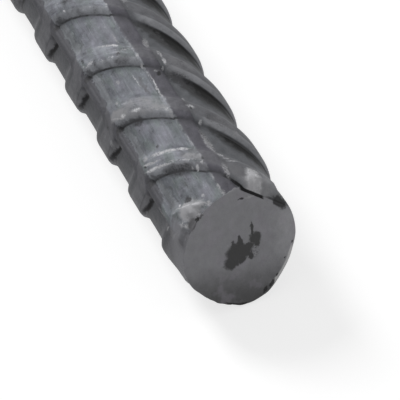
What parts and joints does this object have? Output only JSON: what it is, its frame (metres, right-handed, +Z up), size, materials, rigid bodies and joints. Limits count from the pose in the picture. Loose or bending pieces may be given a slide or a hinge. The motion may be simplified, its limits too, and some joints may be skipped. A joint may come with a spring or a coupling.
{
  "type": "deformed reinforcing bar",
  "caption": "Straight cut length of round ribbed steel bar that reinforces concrete, with sheared ends, two longitudinal ribs and a low line along one side.",
  "frame": {"origin": "on the level surface the bar lies on, under the middle of its length", "axes": "+X along the bar towards the cut end seen in the picture, +Z up, +Y across the bar"},
  "size_m": [0.3079, 0.0124, 0.0124],
  "materials": {
    "mill_scale_steel": "hot-rolled carbon steel with its dark grey mill scale, rubbed bright in places"
  },
  "bodies": {
    "root": {"reinforcing_bar": "mill_scale_steel"}
  },
  "joints": []
}
